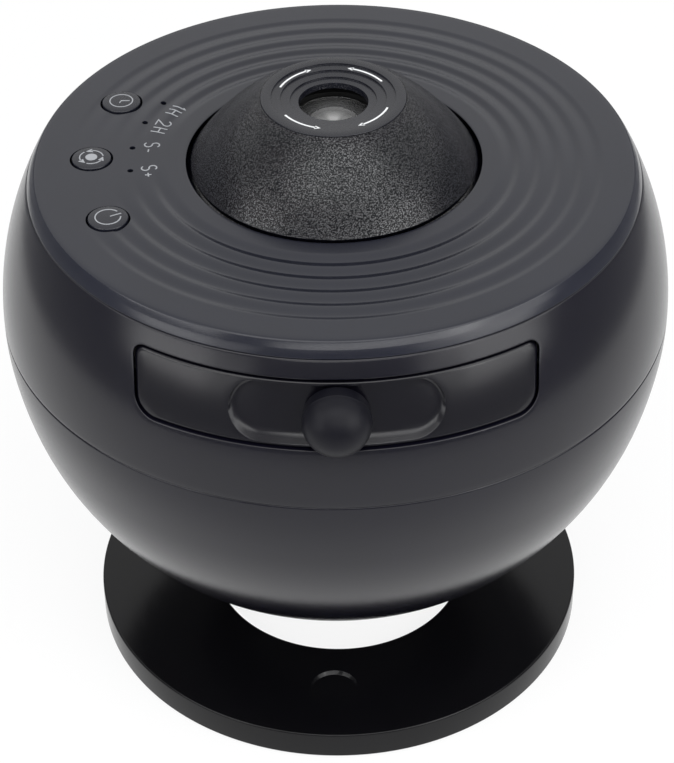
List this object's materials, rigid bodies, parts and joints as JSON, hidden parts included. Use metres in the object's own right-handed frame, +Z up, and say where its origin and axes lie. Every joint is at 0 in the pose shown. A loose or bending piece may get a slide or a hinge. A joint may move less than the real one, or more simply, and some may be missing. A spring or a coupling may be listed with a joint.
{
  "type": "star night light projector",
  "caption": "Ball-shaped star night light projector on a ring base, with a rear pivot arm, a pull-out film disc drawer, push buttons and a turning focus cone over the lens.",
  "frame": {"origin": "on the ground plane, at the centre of the ring base, under the ball", "axes": "+Z up; the film drawer and its knob face -Y; the stand arm and the ball's pivot are at +Y; the push buttons are on the -X side"},
  "size_m": [0.15, 0.1615, 0.1436],
  "materials": {
    "cover_plastic": "satin near-black moulding, fine texture, bevelled bright rim",
    "shell_plastic": "fine matt near-black moulding",
    "bowl_plastic": "fine matt near-black moulding",
    "base_gloss": "smooth dark moulding",
    "drawer_plastic": "satin near-black moulding",
    "button_plastic": "satin near-black moulding",
    "cone_grain": "black moulding with a leather-like pebble grain",
    "cap_plastic": "satin stepped moulding with pale printed turn arrows",
    "inner_plastic": "plain black moulding",
    "slide_plastic": "natural acetal",
    "gear_plastic": "white acetal",
    "film_clear": "clear disc with a dark printed night sky",
    "lens_glass": "polished clear lens",
    "guide_clear": "clear acrylic",
    "foot_rubber": "matt rubber",
    "steel": "plain bright steel",
    "heat_metal": "bare aluminium",
    "cell_wrap": "metal cell in a blue film sleeve",
    "board_green": "green circuit board",
    "chip_black": "moulded black component bodies",
    "led_yellow": "phosphor-coated emitter under a clear dome",
    "led_white": "small pale chip"
  },
  "bodies": {
    "base": {"base_ring": "base_gloss", "base_weight": "steel", "base_plate": "inner_plastic", "foot_ring": "foot_rubber", "base_screws": "steel", "stand_arm": "base_gloss", "arm_screws": "steel", "pivot_shaft": "steel", "retaining_clip": "steel", "spring_washers": "steel", "pivot_cap": "base_gloss"},
    "ball": {"lower_shell": "bowl_plastic", "upper_shell": "shell_plastic", "top_cover": "cover_plastic", "shell_screws": "steel", "pivot_bush": "slide_plastic", "chassis_plate": "inner_plastic", "chassis_screws": "steel", "left_rail": "slide_plastic", "right_rail": "slide_plastic", "optics_deck": "inner_plastic", "deck_screws": "steel", "guide_tube": "slide_plastic", "light_hood": "inner_plastic", "condenser_lens": "lens_glass", "led_board": "heat_metal", "led_emitter": "led_yellow", "heat_sink": "heat_metal", "drive_motor": "steel", "motor_screws": "steel", "main_board": "board_green", "board_parts": "chip_black", "board_screws": "steel", "charge_socket": "steel", "socket_bezel": "inner_plastic", "battery": "cell_wrap", "battery_cradle": "inner_plastic", "control_board": "board_green", "push_switches": "chip_black", "indicator_leds": "led_white", "light_guides": "guide_clear"},
    "drawer": {"drawer_tray": "drawer_plastic", "drawer_front": "drawer_plastic", "pull_knob": "drawer_plastic", "knob_screw": "steel", "tray_screws": "steel"},
    "disc": {"disc_gear": "gear_plastic", "film_disc": "film_clear"},
    "pinion": {"motor_shaft": "steel", "drive_pinion": "gear_plastic"},
    "focus_ring": {"focus_cone": "cone_grain", "focus_cap": "cap_plastic", "focus_sleeve": "slide_plastic"},
    "lens": {"lens_barrel": "inner_plastic", "front_lens": "lens_glass", "rear_lens": "lens_glass", "retaining_rings": "inner_plastic"},
    "timer_button": {"timer_button": "button_plastic"},
    "rotate_button": {"rotate_button": "button_plastic"},
    "power_button": {"power_button": "button_plastic"}
  },
  "joints": [
    {"name": "ball_roll", "type": "hinge", "parent": "base", "child": "ball", "pos_m": [0, 0.0764, 0.0914], "axis": [0, 1, 0], "continuous": true},
    {"name": "drawer_slide", "type": "slide", "parent": "ball", "child": "drawer", "axis": [0, -1, 0], "range_m": [0, 0.092]},
    {"name": "disc_spin", "type": "hinge", "parent": "drawer", "child": "disc", "pos_m": [0, 0, 0.1119], "axis": [0, 0, 1], "continuous": true},
    {"name": "pinion_spin", "type": "hinge", "parent": "ball", "child": "pinion", "pos_m": [0, 0.036, 0.1119], "axis": [0, 0, 1], "continuous": true},
    {"name": "focus_turn", "type": "hinge", "parent": "ball", "child": "focus_ring", "pos_m": [0, 0, 0.1281], "axis": [0, 0, 1], "range_deg": [-50, 50]},
    {"name": "lens_slide", "type": "slide", "parent": "ball", "child": "lens", "axis": [0, 0, 1], "range_m": [-0.0023, 0.0023]},
    {"name": "timer_press", "type": "slide", "parent": "ball", "child": "timer_button", "axis": [0, 0, -1], "range_m": [0, 0.0005], "stiffness_N_per_m": 1500},
    {"name": "rotate_press", "type": "slide", "parent": "ball", "child": "rotate_button", "axis": [0, 0, -1], "range_m": [0, 0.0005], "stiffness_N_per_m": 1500},
    {"name": "power_press", "type": "slide", "parent": "ball", "child": "power_button", "axis": [0, 0, -1], "range_m": [0, 0.0005], "stiffness_N_per_m": 1500}
  ],
  "couplings": [
    {"joint": "pinion_spin", "follows": "disc_spin", "ratio": -5},
    {"joint": "lens_slide", "follows": "focus_turn", "m_per_rad": 0.002521}
  ]
}
